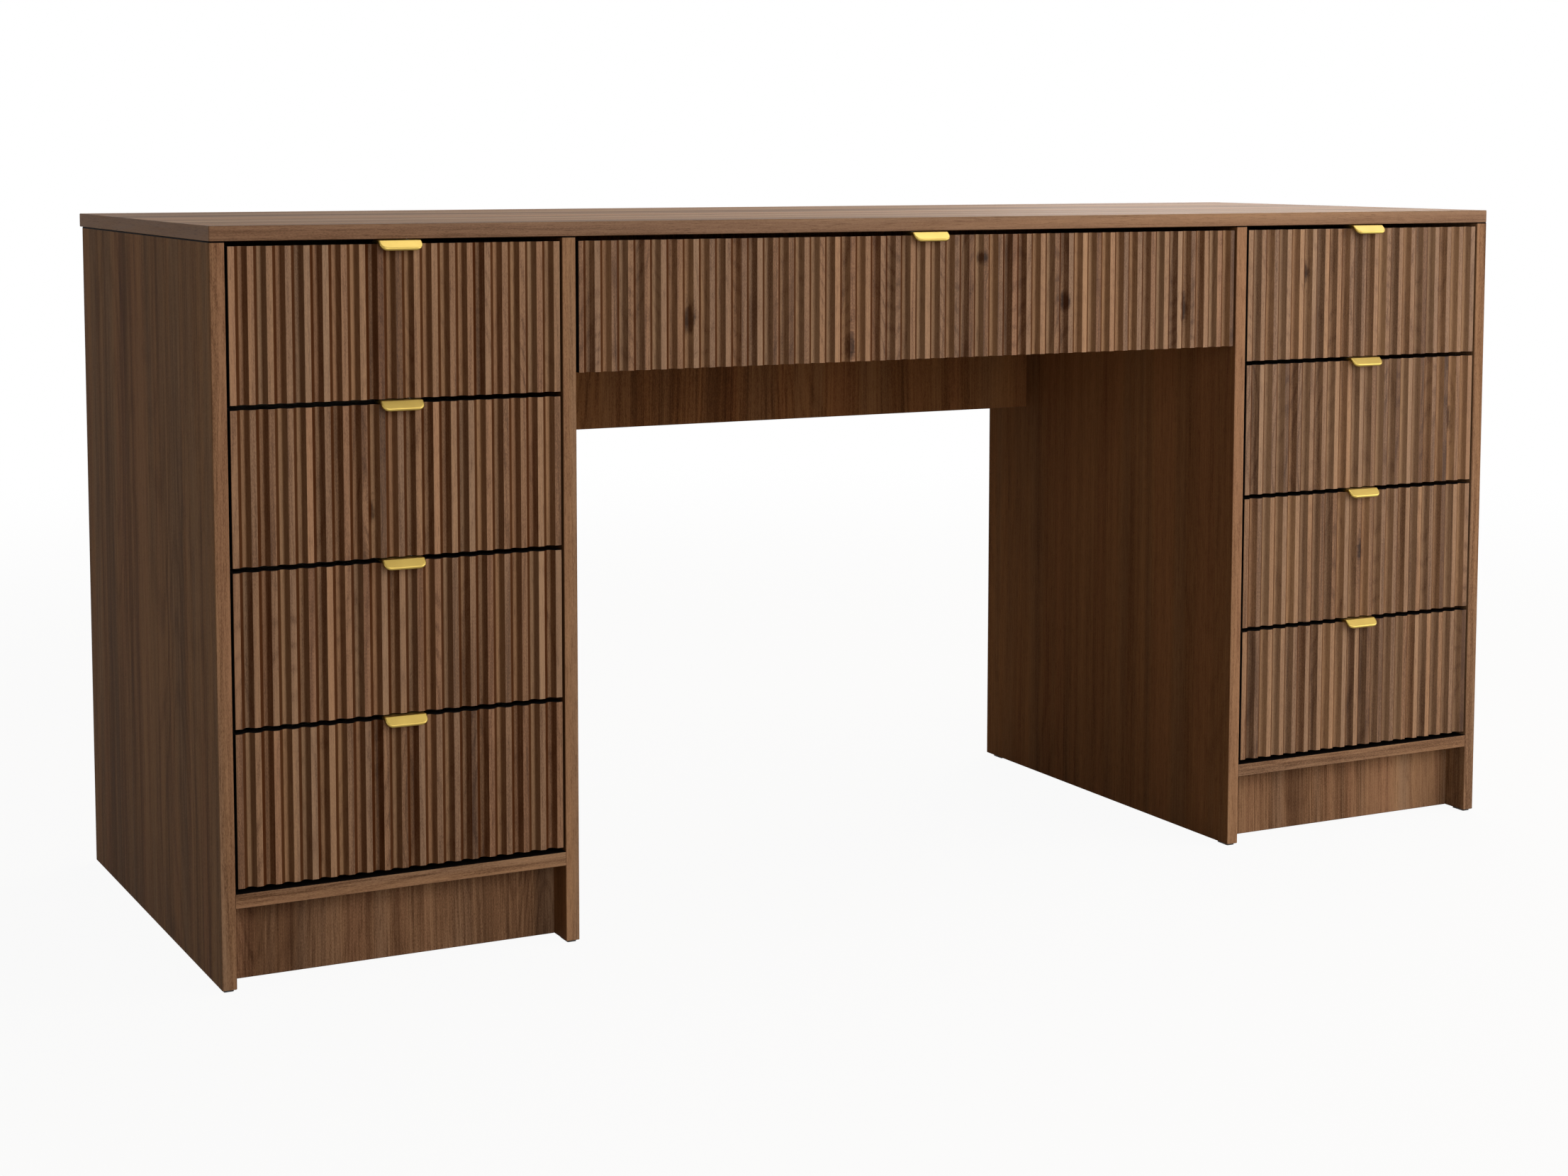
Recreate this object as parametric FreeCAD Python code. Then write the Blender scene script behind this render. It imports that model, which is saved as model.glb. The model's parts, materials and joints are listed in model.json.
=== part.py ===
import FreeCAD, Part
import math
import os

# A desk of laminated board: two pedestals of four drawers each, a wide centre drawer over the
# kneehole, a modesty panel and a one-piece desktop.
# Millimetres. X runs along the desk, Y from the sitter towards the back, Z up from the floor.
# The origin is the centre of the desk's box, on the floor.

# Carcass
DESK_WIDTH = 1600.0
DESKTOP_DEPTH = 560.0
DESK_HEIGHT = 756.0
BOARD = 15.0
BOARD_EDGE = 1.0
PANEL_DEPTH = 547.0
PEDESTAL_INSIDE = 351.0
PLINTH_HEIGHT = 83.0
PLINTH_RECESS = 34.0
REAR_PLINTH_INSET = 60.0
MODESTY_CLEARANCE = 39.0
MODESTY_HEIGHT = 252.0
BACK_SHEET = 3.0
BACK_INSET = 8.0
BACK_GROOVE = 6.0

# Glides under the panels
GLIDE_HEIGHT = 2.0
GLIDE_WIDTH = 10.0
GLIDE_LENGTH = 20.0
GLIDE_CORNER = 1.5
GLIDE_FRONT_INSET = 3.0
GLIDE_BACK_INSET = 14.0
GLIDE_PIN_RADIUS = 1.5
GLIDE_PIN_LENGTH = 12.0

# Drawer fronts
ROWS = 4
ROW_GAP = 5.0
FRONT_SIDE_GAP = 2.5
CENTRE_SIDE_GAP = 3.0
CENTRE_FRONT_HEIGHT = 136.0
FLUTE_PITCH = 18.8
FLUTE_MOUTH = 12.6
FLUTE_DEPTH = 5.0
FLUTE_FLOOR_RADIUS = 4.0
FLUTE_CREST_RADIUS = 0.8
FLUTE_END_LAND = 2.0

# Drawer boxes
RUNNER_ROOM = 13.0
DRAWER_BOARD = 12.0
DRAWER_EDGE = 0.6
DRAWER_LENGTH = 470.0
CENTRE_DRAWER_LENGTH = 400.0
DRAWER_RISE = 15.0
DRAWER_SIDE_HEIGHT = 115.0
CENTRE_SIDE_HEIGHT = 95.0
DRAWER_BOTTOM = 4.0
BOTTOM_RISE = 10.0
BOTTOM_GROOVE = 5.0

# Runners: a channel on the cabinet and a hat-shaped slide on the drawer
RUNNER_SHEET = 1.2
RUNNER_LENGTH = 450.0
CENTRE_RUNNER_LENGTH = 380.0
RUNNER_SETBACK = 2.0
RUNNER_RISE = 40.0
CHANNEL_HALF_HEIGHT = 20.0
CHANNEL_DEPTH = 10.5
CHANNEL_LIP = 5.0
SLIDE_HALF_HEIGHT = 14.0
SLIDE_FOOT_SETBACK = 3.4
SLIDE_PLAY = 0.3
STOP_LENGTH = 8.0
PEDESTAL_TRAVEL = 325.0
CENTRE_TRAVEL = 275.0
CHANNEL_SCREW_INSET = 45.0
SLIDE_SCREW_INSET = 80.0

# Edge pulls
PULL_WIDTH = 45.0
PULL_SEAT = 13.0
PULL_LEG = 4.0
PULL_TAB = 4.0
PULL_KNEE = 4.0
PULL_DROP = 7.0
PULL_SLOPE_DEGREES = 40.0
PULL_CORNER_RADIUS = 8.0
PULL_BEND_RADIUS = 2.5
PULL_KNEE_RADIUS = 1.5
PULL_RIM_RADIUS = 1.7
PULL_SCREW_SPREAD = 28.0
PULL_SCREW_SETBACK = 10.0
PULL_SCREW_LENGTH = 20.0

# Fasteners
PLAY = 0.1
OVERRUN = 1.0
CAM_RADIUS = 7.4
CAM_FLOOR = 2.0
CAM_SETBACK = 24.0
CAM_SLOT_WIDTH = 1.4
CAM_SLOT_LENGTH = 9.0
CAM_SLOT_DEPTH = 1.6
BOLT_HEAD_RADIUS = 3.4
BOLT_HEAD_LENGTH = 4.0
BOLT_SHANK_RADIUS = 2.5
BOLT_THREAD_RADIUS = 3.5
BOLT_GRIP = 11.0
FRONT_GRIP = 8.0
DOWEL_RADIUS = 4.0
DOWEL_EDGE = 0.6
DOWEL_TAIL = 19.0
DRAWER_DOWEL_RADIUS = 3.0
SCREW_RADIUS = 1.6
SCREW_HEAD_RADIUS = 3.2
SCREW_HEAD_HEIGHT = 1.6
CROSS_LENGTH = 3.4
CROSS_WIDTH = 0.8
CROSS_DEPTH = 1.1
SCREW_LENGTH = 12.0
SLIDE_SCREW_LENGTH = 11.0
CORNER_SCREW_LENGTH = 28.0
DRAWER_CAM_RISE = 74.0
DRAWER_DOWEL_RISE = 30.0

# Where fasteners stand along a joint, as shares of its length
DESKTOP_CAM_SHARES = (0.12, 0.5, 0.88)
DESKTOP_DOWEL_SHARES = (0.2, 0.8)
BOTTOM_CAM_SHARES = (0.17, 0.75)
BOTTOM_DOWEL_SHARES = (0.27, 0.85)
MODESTY_CAM_SHARES = (0.24, 0.76)
MODESTY_TOP_CAM_SHARES = (0.2, 0.8)
MODESTY_DOWEL_SHARE = 0.5
BACK_SCREW_SHARES = (0.15, 0.5, 0.85)
CORNER_SCREW_SHARES = (0.6, 0.9)

# Derived sizes and places
HALF_WIDTH = DESK_WIDTH / 2
PEDESTAL_WIDTH = PEDESTAL_INSIDE + 2 * BOARD
KNEE_HALF = HALF_WIDTH - PEDESTAL_WIDTH
PULL_SLOPE = math.radians(PULL_SLOPE_DEGREES)
PULL_RIM_LOSS = PULL_RIM_RADIUS * (math.sin(PULL_SLOPE) + math.cos(PULL_SLOPE) - 1)
PULL_REACH = PULL_KNEE + PULL_DROP / math.tan(PULL_SLOPE) + PULL_TAB * math.sin(PULL_SLOPE) - PULL_RIM_LOSS
FRONT_Y = -(DESKTOP_DEPTH - PULL_REACH) / 2
FRONT_BACK_Y = FRONT_Y + BOARD
PANEL_BACK_Y = FRONT_Y + PANEL_DEPTH
BACK_SHEET_Y = PANEL_BACK_Y - BACK_INSET - BACK_SHEET
RUNNER_Y = FRONT_BACK_Y + RUNNER_SETBACK
DESKTOP_Z = DESK_HEIGHT - BOARD
FLOOR_BOARD_TOP = PLINTH_HEIGHT + BOARD
FRONT_HEIGHT = (DESKTOP_Z - FLOOR_BOARD_TOP - (ROWS + 1) * ROW_GAP) / ROWS
SLIDE_FOOT_HEIGHT = CHANNEL_HALF_HEIGHT - RUNNER_SHEET - SLIDE_PLAY
CENTRE_REAR_Y = max(RUNNER_Y + CENTRE_RUNNER_LENGTH, FRONT_BACK_Y + CENTRE_DRAWER_LENGTH)

X_AXIS = FreeCAD.Vector(1, 0, 0)
Y_AXIS = FreeCAD.Vector(0, 1, 0)
Z_AXIS = FreeCAD.Vector(0, 0, 1)


class Assembly:
    """The solids of each node, and the holes that are cut in them when the last one is in place."""

    def __init__(self):
        self.solids = {}
        self.holes = {}

    def add(self, node, solid):
        """Put a solid in a node and return the pair that names it."""
        group = self.solids.setdefault(node, [])
        group.append(solid)
        return node, len(group) - 1

    def drill(self, piece, *cutters):
        self.holes.setdefault(piece, []).extend(cutters)

    def write(self):
        os.makedirs("parts", exist_ok=True)
        for (node, index), cutters in self.holes.items():
            self.solids[node][index] = self.solids[node][index].cut(cutters)
        for node, solids in self.solids.items():
            shape = solids[0] if len(solids) == 1 else Part.makeCompound(solids)
            shape.exportStep("parts/" + node + ".step")


desk = Assembly()


def vector(x, y, z):
    return FreeCAD.Vector(x, y, z)


def place_at(span, share):
    """The place that lies a share of the way along a span."""
    return span[0] + (span[1] - span[0]) * share


def block(x_span, y_span, z_span):
    """A plain box between the low and high value on each axis."""
    low = vector(x_span[0], y_span[0], z_span[0])
    return Part.makeBox(x_span[1] - x_span[0], y_span[1] - y_span[0], z_span[1] - z_span[0], low)


def runs_along(edge, axis):
    """Whether a straight edge is parallel to an axis."""
    run = edge.Vertexes[-1].Point - edge.Vertexes[0].Point
    return run.Length > PLAY and run.cross(axis).Length < PLAY / 2


def board(x_span, y_span, z_span, edge=BOARD_EDGE, axes=(X_AXIS, Y_AXIS, Z_AXIS)):
    """A board whose edges along the given axes are eased."""
    plain = block(x_span, y_span, z_span)
    eased = [line for line in plain.Edges if any(runs_along(line, axis) for axis in axes)]
    return plain.makeFillet(edge, eased)


def rod(start, direction, radius, length):
    return Part.makeCylinder(radius, length, start, direction)


def filled_polygon(points):
    return Part.Face(Part.makePolygon(points + points[:1]))


def mirrored(side, near, far):
    """The X span from near to far, counted inwards from the desk's end on that side."""
    if side < 0:
        return (near - HALF_WIDTH, far - HALF_WIDTH)
    return (HALF_WIDTH - far, HALF_WIDTH - near)


# Fasteners


def recess(face_point, facing, along, length, width, depth):
    """A straight recess in a face, centred on the point and running along the given direction."""
    end = along * (length / 2)
    side = facing.cross(along) * (width / 2)
    near, far = face_point - side, face_point + side
    corners = [near - end, near + end, far + end, far - end]
    return filled_polygon(corners).extrude(facing * -depth)


def with_cross(solid, face_point, facing):
    """The solid with a cross recess for a screwdriver."""
    along = facing.cross(X_AXIS if abs(facing.x) < abs(facing.z) + abs(facing.y) else Y_AXIS)
    arms = [recess(face_point, facing, arm, CROSS_LENGTH, CROSS_WIDTH, CROSS_DEPTH)
            for arm in (along, facing.cross(along))]
    return solid.cut(arms)


def screw(node, seat, direction, length, pieces):
    """A pan-head screw whose head stands on the seat, with its hole in each piece it passes."""
    head_top = seat - direction * SCREW_HEAD_HEIGHT
    head = rod(head_top, direction, SCREW_HEAD_RADIUS, SCREW_HEAD_HEIGHT)
    shank = rod(seat, direction, SCREW_RADIUS, length)
    desk.add(node, with_cross(head.fuse(shank).removeSplitter(), head_top, -direction))
    hole = rod(seat - direction * OVERRUN, direction, SCREW_RADIUS + PLAY, length + OVERRUN)
    for piece in pieces:
        desk.drill(piece, hole)


def countersunk_screw(node, seat, direction, length, pieces):
    """A screw whose cone-shaped head lies flush with the seat."""
    head = Part.makeCone(SCREW_HEAD_RADIUS, SCREW_RADIUS, SCREW_HEAD_HEIGHT, seat, direction)
    shank = rod(seat, direction, SCREW_RADIUS, length)
    desk.add(node, with_cross(head.fuse(shank).removeSplitter(), seat, -direction))
    wide = SCREW_HEAD_RADIUS + PLAY
    narrow = SCREW_RADIUS + PLAY
    sink = Part.makeCone(wide, narrow, SCREW_HEAD_HEIGHT, seat, direction)
    for piece in pieces:
        desk.drill(piece, rod(seat, direction, narrow, length))
    desk.drill(pieces[0], sink)


def cam_joint(host, mate, face_point, facing, reach, thickness, nodes, grip=BOLT_GRIP):
    """A cam in the host's face, and the bolt that it draws, which is screwed into the mate.

    face_point is the cam's centre on the host's face, facing is that face's outward normal and
    reach is the bolt's direction. nodes holds the cam's node and the bolt's.
    """
    cam_height = thickness - CAM_FLOOR
    middle = face_point - facing * (thickness / 2)
    head_start = middle - reach * (BOLT_HEAD_LENGTH / 2)
    head_end = middle + reach * (BOLT_HEAD_LENGTH / 2)
    edge_point = middle + reach * CAM_SETBACK
    cam = rod(face_point, -facing, CAM_RADIUS, cam_height)
    bore = rod(head_start, reach, BOLT_HEAD_RADIUS + PLAY, CAM_SETBACK)
    along = facing.cross(reach)
    slot = recess(face_point, facing, along, CAM_SLOT_LENGTH, CAM_SLOT_WIDTH, CAM_SLOT_DEPTH)
    desk.add(nodes[0], cam.cut([bore, slot]))
    head = rod(head_start, reach, BOLT_HEAD_RADIUS, BOLT_HEAD_LENGTH)
    shank = rod(head_end, reach, BOLT_SHANK_RADIUS, CAM_SETBACK - BOLT_HEAD_LENGTH / 2)
    thread = rod(edge_point, reach, BOLT_THREAD_RADIUS, grip)
    desk.add(nodes[1], head.fuse([shank, thread]).removeSplitter())
    pocket = rod(face_point + facing * OVERRUN, -facing, CAM_RADIUS + PLAY, cam_height + OVERRUN)
    shank_bore = rod(middle, reach, BOLT_SHANK_RADIUS + PLAY, CAM_SETBACK + OVERRUN)
    desk.drill(host, pocket, shank_bore)
    desk.drill(mate, rod(edge_point - reach * OVERRUN, reach, BOLT_THREAD_RADIUS + PLAY, grip + OVERRUN))


def dowel(node, host, mate, edge_point, reach, radius, grip):
    """A dowel across a joint: its tail lies in the host's edge and its grip in the mate's face."""
    start = edge_point - reach * DOWEL_TAIL
    pin = rod(start, reach, radius, DOWEL_TAIL + grip)
    rims = [edge for edge in pin.Edges if edge.isClosed()]
    desk.add(node, pin.makeFillet(DOWEL_EDGE, rims))
    hole = rod(start, reach, radius + PLAY, DOWEL_TAIL + grip)
    desk.drill(host, hole)
    desk.drill(mate, hole)


# Carcass


def make_desktop():
    y_span = (FRONT_Y, FRONT_Y + DESKTOP_DEPTH)
    return desk.add("desktop", board((-HALF_WIDTH, HALF_WIDTH), y_span, (DESKTOP_Z, DESK_HEIGHT)))


def add_glide(panel, middle, y_low):
    """A nail-in pad that stands on the floor under a panel's edge."""
    half = GLIDE_WIDTH / 2
    pad = block((middle - half, middle + half), (y_low, y_low + GLIDE_LENGTH), (0, GLIDE_HEIGHT))
    pad = pad.makeFillet(GLIDE_CORNER, [edge for edge in pad.Edges if runs_along(edge, Z_AXIS)])
    root = vector(middle, y_low + GLIDE_LENGTH / 2, GLIDE_HEIGHT)
    pin = rod(root, Z_AXIS, GLIDE_PIN_RADIUS, GLIDE_PIN_LENGTH)
    desk.add("panel_glides", pad.fuse(pin).removeSplitter())
    desk.drill(panel, rod(root, Z_AXIS, GLIDE_PIN_RADIUS + PLAY, GLIDE_PIN_LENGTH))


def make_side_panel(node, x_span, facing, desktop):
    """An upright panel on two glides, held under the desktop by cams in the face that faces so."""
    panel = desk.add(node, board(x_span, (FRONT_Y, PANEL_BACK_Y), (GLIDE_HEIGHT, DESKTOP_Z)))
    middle = place_at(x_span, 1 / 2)
    add_glide(panel, middle, FRONT_Y + GLIDE_FRONT_INSET)
    add_glide(panel, middle, PANEL_BACK_Y - GLIDE_BACK_INSET - GLIDE_LENGTH)
    depth = (FRONT_Y, PANEL_BACK_Y)
    face_x = middle + facing.x * BOARD / 2
    for share in DESKTOP_CAM_SHARES:
        point = vector(face_x, place_at(depth, share), DESKTOP_Z - CAM_SETBACK)
        cam_joint(panel, desktop, point, facing, Z_AXIS, BOARD, ("cam_locks", "cam_bolts"))
    for share in DESKTOP_DOWEL_SHARES:
        point = vector(middle, place_at(depth, share), DESKTOP_Z)
        dowel("wooden_dowels", panel, desktop, point, Z_AXIS, DOWEL_RADIUS, BOLT_GRIP)
    return panel


def make_bottom_board(node, x_inside, ends):
    y_span = (FRONT_Y, BACK_SHEET_Y)
    bottom = desk.add(node, board(x_inside, y_span, (PLINTH_HEIGHT, FLOOR_BOARD_TOP), axes=(X_AXIS,)))
    for panel, face_x, outwards in ends:
        for share in BOTTOM_CAM_SHARES:
            point = vector(face_x - outwards.x * CAM_SETBACK, place_at(y_span, share), PLINTH_HEIGHT)
            cam_joint(bottom, panel, point, -Z_AXIS, outwards, BOARD, ("cam_locks", "cam_bolts"))
        for share in BOTTOM_DOWEL_SHARES:
            point = vector(face_x, place_at(y_span, share), PLINTH_HEIGHT + BOARD / 2)
            dowel("wooden_dowels", bottom, panel, point, outwards, DOWEL_RADIUS, BOLT_GRIP)
    return bottom


def make_plinth(node, x_inside, y_low, facing, ends):
    """A board on edge under the bottom board, with a cam at each end in the face that faces so."""
    z_span = (GLIDE_HEIGHT, PLINTH_HEIGHT)
    plinth = desk.add(node, board(x_inside, (y_low, y_low + BOARD), z_span, axes=(X_AXIS,)))
    face_y = y_low + BOARD / 2 + facing.y * BOARD / 2
    for panel, face_x, outwards in ends:
        point = vector(face_x - outwards.x * CAM_SETBACK, face_y, place_at(z_span, 1 / 2))
        cam_joint(plinth, panel, point, facing, outwards, BOARD, ("cam_locks", "cam_bolts"))


def make_back_sheet(node, x_inside, panels, bottom):
    """A thin sheet let into grooves in both side panels and screwed to the bottom board."""
    x_span = (x_inside[0] - BACK_GROOVE, x_inside[1] + BACK_GROOVE)
    y_span = (BACK_SHEET_Y, BACK_SHEET_Y + BACK_SHEET)
    sheet = desk.add(node, block(x_span, y_span, (PLINTH_HEIGHT, DESKTOP_Z)))
    for panel in panels:
        desk.drill(panel, block(x_span, y_span, (PLINTH_HEIGHT, DESKTOP_Z + OVERRUN)))
    for share in BACK_SCREW_SHARES:
        seat = vector(place_at(x_inside, share), y_span[1], PLINTH_HEIGHT + BOARD / 2)
        screw("back_panel_screws", seat, -Y_AXIS, SCREW_LENGTH + BACK_SHEET, (sheet, bottom))


def make_pedestal(name, side, desktop):
    """One pedestal's carcass. It returns the outer panel, the inner panel and the X span inside."""
    inwards = X_AXIS * -side
    x_inside = mirrored(side, BOARD, BOARD + PEDESTAL_INSIDE)
    outer = make_side_panel(name + "_outer_panel", mirrored(side, 0, BOARD), inwards, desktop)
    inner_span = mirrored(side, BOARD + PEDESTAL_INSIDE, PEDESTAL_WIDTH)
    inner = make_side_panel(name + "_inner_panel", inner_span, -inwards, desktop)
    outer_face, inner_face = x_inside if side < 0 else x_inside[::-1]
    ends = ((outer, outer_face, -inwards), (inner, inner_face, inwards))
    bottom = make_bottom_board(name + "_bottom_board", x_inside, ends)
    make_plinth(name + "_plinth", x_inside, FRONT_Y + PLINTH_RECESS, Y_AXIS, ends)
    make_plinth(name + "_rear_plinth", x_inside, BACK_SHEET_Y - REAR_PLINTH_INSET, -Y_AXIS, ends)
    make_back_sheet(name + "_back_panel", x_inside, (outer, inner), bottom)
    return outer, inner, x_inside


def make_modesty_panel(left_panel, right_panel, desktop):
    """The upright panel across the kneehole, fastened from behind to its neighbours."""
    y_low = CENTRE_REAR_Y + MODESTY_CLEARANCE
    back_y = y_low + BOARD
    x_span = (-KNEE_HALF, KNEE_HALF)
    z_span = (DESKTOP_Z - MODESTY_HEIGHT, DESKTOP_Z)
    nodes = ("cam_locks", "cam_bolts")
    modesty = desk.add("modesty_panel", board(x_span, (y_low, back_y), z_span, axes=(X_AXIS,)))
    for panel, outwards in ((left_panel, -X_AXIS), (right_panel, X_AXIS)):
        for share in MODESTY_CAM_SHARES:
            point = vector(outwards.x * (KNEE_HALF - CAM_SETBACK), back_y, place_at(z_span, share))
            cam_joint(modesty, panel, point, Y_AXIS, outwards, BOARD, nodes)
        edge = vector(outwards.x * KNEE_HALF, y_low + BOARD / 2, place_at(z_span, MODESTY_DOWEL_SHARE))
        dowel("wooden_dowels", modesty, panel, edge, outwards, DOWEL_RADIUS, BOLT_GRIP)
    for share in MODESTY_TOP_CAM_SHARES:
        point = vector(place_at(x_span, share), back_y, DESKTOP_Z - CAM_SETBACK)
        cam_joint(modesty, desktop, point, Y_AXIS, Z_AXIS, BOARD, nodes)


# Drawers


def flute_points(middle, side):
    """The points of one side of a flute, as X and depth, from its crest down to its floor.

    They are the ends and the middle of the crest's rounding, and the foot of the straight flank,
    which meets the round floor on a tangent.
    """
    mouth = FLUTE_MOUTH / 2
    centre_depth = FLUTE_DEPTH - FLUTE_FLOOR_RADIUS
    to_centre = math.hypot(mouth, centre_depth)
    flank = math.sqrt(to_centre ** 2 - FLUTE_FLOOR_RADIUS ** 2)
    angle = math.atan2(centre_depth, mouth) + math.atan2(FLUTE_FLOOR_RADIUS, flank)
    ease = FLUTE_CREST_RADIUS * math.tan(angle / 2)
    bow = FLUTE_CREST_RADIUS * math.sin(angle / 2)
    corner = middle + side * mouth
    return (
        (corner + side * ease, 0),
        (corner + side * (ease - bow), FLUTE_CREST_RADIUS * (1 - math.cos(angle / 2))),
        (corner - side * ease * math.cos(angle), ease * math.sin(angle)),
        (corner - side * flank * math.cos(angle), flank * math.sin(angle)),
    )


def fluted_front(x_span, z_span):
    """A board with upright flutes across its face, as many as fit between its two end crests."""
    room = x_span[1] - x_span[0] - 2 * FLUTE_END_LAND - FLUTE_MOUTH
    count = int(room / FLUTE_PITCH) + 1
    first = place_at(x_span, 1 / 2) - (count - 1) * FLUTE_PITCH / 2

    def at(point):
        return vector(point[0], FRONT_Y + point[1], z_span[0])

    edges = []
    last = (x_span[0], 0)
    for number in range(count):
        middle = first + number * FLUTE_PITCH
        crest, rounding, top, foot = flute_points(middle, -1)
        far_crest, far_rounding, far_top, far_foot = flute_points(middle, 1)
        edges.append(Part.LineSegment(at(last), at(crest)))
        edges.append(Part.Arc(at(crest), at(rounding), at(top)))
        edges.append(Part.LineSegment(at(top), at(foot)))
        edges.append(Part.Arc(at(foot), at((middle, FLUTE_DEPTH)), at(far_foot)))
        edges.append(Part.LineSegment(at(far_foot), at(far_top)))
        edges.append(Part.Arc(at(far_top), at(far_rounding), at(far_crest)))
        last = far_crest
    for corner in ((x_span[1], 0), (x_span[1], BOARD), (x_span[0], BOARD), (x_span[0], 0)):
        edges.append(Part.LineSegment(at(last), at(corner)))
        last = corner
    outline = Part.Wire([edge.toShape() for edge in edges])
    front = Part.Face(outline).extrude(Z_AXIS * (z_span[1] - z_span[0]))
    ends = [edge for edge in front.Edges if runs_along(edge, Z_AXIS)
            and min(abs(edge.CenterOfMass.x - x) for x in x_span) < PLAY]
    return front.makeFillet(FLUTE_CREST_RADIUS, ends)


def edge_pull(middle_x, top_z):
    """A pull in one piece: a leg on the front's top edge and a tab that slopes down before it."""
    down = vector(0, -math.cos(PULL_SLOPE), -math.sin(PULL_SLOPE))
    outward = vector(0, -math.sin(PULL_SLOPE), math.cos(PULL_SLOPE))
    left = middle_x - PULL_WIDTH / 2
    heel = vector(left, FRONT_Y + PULL_SEAT, top_z)
    knee = vector(left, FRONT_Y - PULL_KNEE, top_z)
    low_tip = knee + down * (PULL_DROP / math.sin(PULL_SLOPE))
    high_tip = low_tip + outward * PULL_TAB
    bend = high_tip - down * ((top_z + PULL_LEG - high_tip.z) / math.sin(PULL_SLOPE))
    outline = [heel, knee, low_tip, high_tip, bend, heel + Z_AXIS * PULL_LEG]
    pull = filled_polygon(outline).extrude(X_AXIS * PULL_WIDTH)

    def starts_at(edge, point):
        """Whether an edge along X starts or ends at the point or its opposite number."""
        middle = edge.CenterOfMass
        return runs_along(edge, X_AXIS) and math.hypot(middle.y - point.y, middle.z - point.z) < PLAY

    def is_rim(edge):
        """Whether an edge bounds the tab's face, and doesn't cross its thickness or its width."""
        middle = edge.CenterOfMass
        is_bend = runs_along(edge, X_AXIS) and middle.y > high_tip.y / 2 + bend.y / 2
        return middle.y < knee.y and not is_bend and not runs_along(edge, outward)

    corners = [edge for edge in pull.Edges if runs_along(edge, outward)]
    pull = pull.makeFillet(PULL_CORNER_RADIUS, corners)
    pull = pull.makeFillet(PULL_BEND_RADIUS, [edge for edge in pull.Edges if starts_at(edge, bend)])
    pull = pull.makeFillet(PULL_KNEE_RADIUS, [edge for edge in pull.Edges if starts_at(edge, knee)])
    return pull.makeFillet(PULL_RIM_RADIUS, [edge for edge in pull.Edges if is_rim(edge)])


def runner_outlines():
    """The cabinet channel and the drawer slide in section.

    Each point is the distance from the cabinet's panel and the height from the runner's middle.
    """
    sheet = RUNNER_SHEET
    room, foot = RUNNER_ROOM, SLIDE_FOOT_SETBACK
    depth, height, lip = CHANNEL_DEPTH, CHANNEL_HALF_HEIGHT, CHANNEL_HALF_HEIGHT - CHANNEL_LIP
    channel_half = [(0, height), (depth, height), (depth, lip), (depth - sheet, lip)]
    channel_half += [(depth - sheet, height - sheet), (sheet, height - sheet)]
    leg, toe = SLIDE_HALF_HEIGHT, SLIDE_FOOT_HEIGHT
    slide_half = [(room, leg), (foot + sheet, leg), (foot + sheet, toe), (foot, toe)]
    slide_half += [(foot, leg - sheet), (room - sheet, leg - sheet)]
    return [half + [(x, -z) for x, z in reversed(half)] for half in (channel_half, slide_half)]


def runner_piece(outline, face_x, inwards, middle_z, y_span):
    """A sectional outline set against a panel's face and drawn along Y."""
    points = [vector(face_x + inwards * x, y_span[0], middle_z + z) for x, z in outline]
    return filled_polygon(points).extrude(Y_AXIS * (y_span[1] - y_span[0]))


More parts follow.
